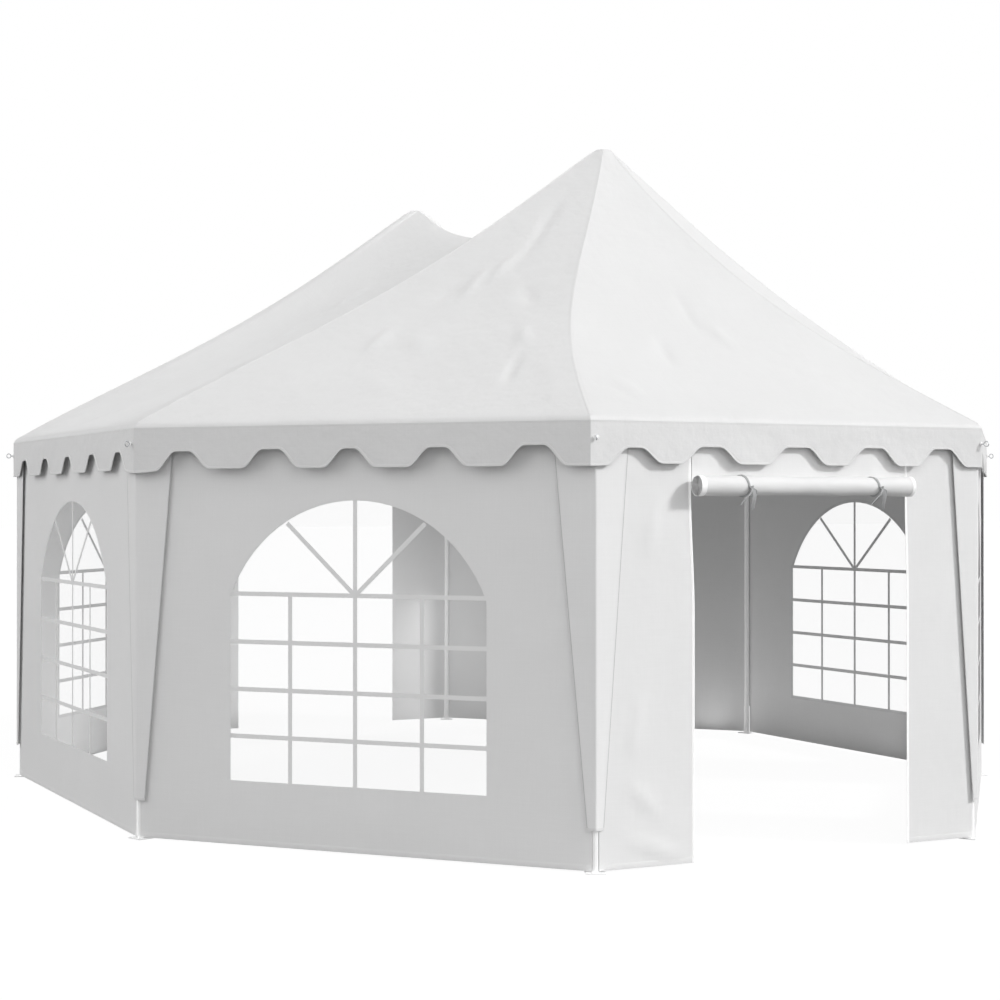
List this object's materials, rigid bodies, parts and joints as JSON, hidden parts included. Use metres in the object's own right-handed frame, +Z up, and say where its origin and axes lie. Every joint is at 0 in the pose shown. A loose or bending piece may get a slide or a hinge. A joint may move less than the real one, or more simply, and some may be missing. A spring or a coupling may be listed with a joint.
{
  "type": "marquee tent",
  "caption": "Fabric marquee on a steel tube frame, with a stretched octagonal plan, twin roof peaks, a scalloped valance, arched windows and a doorway at each end",
  "frame": {"origin": "on the ground, at the middle of the plan", "axes": "+X out of the front doorway along the long axis, +Y across the plan to the right of someone facing that doorway from outside, +Z up"},
  "size_m": [6.6578, 5.625, 3.745],
  "materials": {
    "steel": "satin white paint",
    "roof_fabric": "coated white weave",
    "wall_fabric": "coated white weave",
    "window_film": "clear soft film"
  },
  "bodies": {
    "root": {"front_left_post": "steel", "front_right_post": "steel", "right_front_post": "steel", "right_back_post": "steel", "back_right_post": "steel", "back_left_post": "steel", "left_back_post": "steel", "left_front_post": "steel", "front_rail": "steel", "front_right_rail": "steel", "right_rail": "steel", "back_right_rail": "steel", "back_rail": "steel", "back_left_rail": "steel", "left_rail": "steel", "front_left_rail": "steel", "front_left_rafter": "steel", "front_right_rafter": "steel", "right_front_rafter": "steel", "right_back_rafter": "steel", "back_right_rafter": "steel", "back_left_rafter": "steel", "left_back_rafter": "steel", "left_front_rafter": "steel", "front_crown": "steel", "back_crown": "steel", "ridge_bar": "steel", "roof_canopy": "roof_fabric", "front_door_wall": "wall_fabric", "front_door_roll": "wall_fabric", "front_right_wall": "wall_fabric", "front_right_window": "window_film", "right_wall": "wall_fabric", "right_window": "window_film", "back_right_wall": "wall_fabric", "back_right_window": "window_film", "back_door_wall": "wall_fabric", "back_door_roll": "wall_fabric", "back_left_wall": "wall_fabric", "back_left_window": "window_film", "left_wall": "wall_fabric", "left_window": "window_film", "front_left_wall": "wall_fabric", "front_left_window": "window_film", "front_left_leg_cover": "wall_fabric", "front_right_leg_cover": "wall_fabric", "right_front_leg_cover": "wall_fabric", "right_back_leg_cover": "wall_fabric", "back_right_leg_cover": "wall_fabric", "back_left_leg_cover": "wall_fabric", "left_back_leg_cover": "wall_fabric", "left_front_leg_cover": "wall_fabric"}
  },
  "joints": []
}
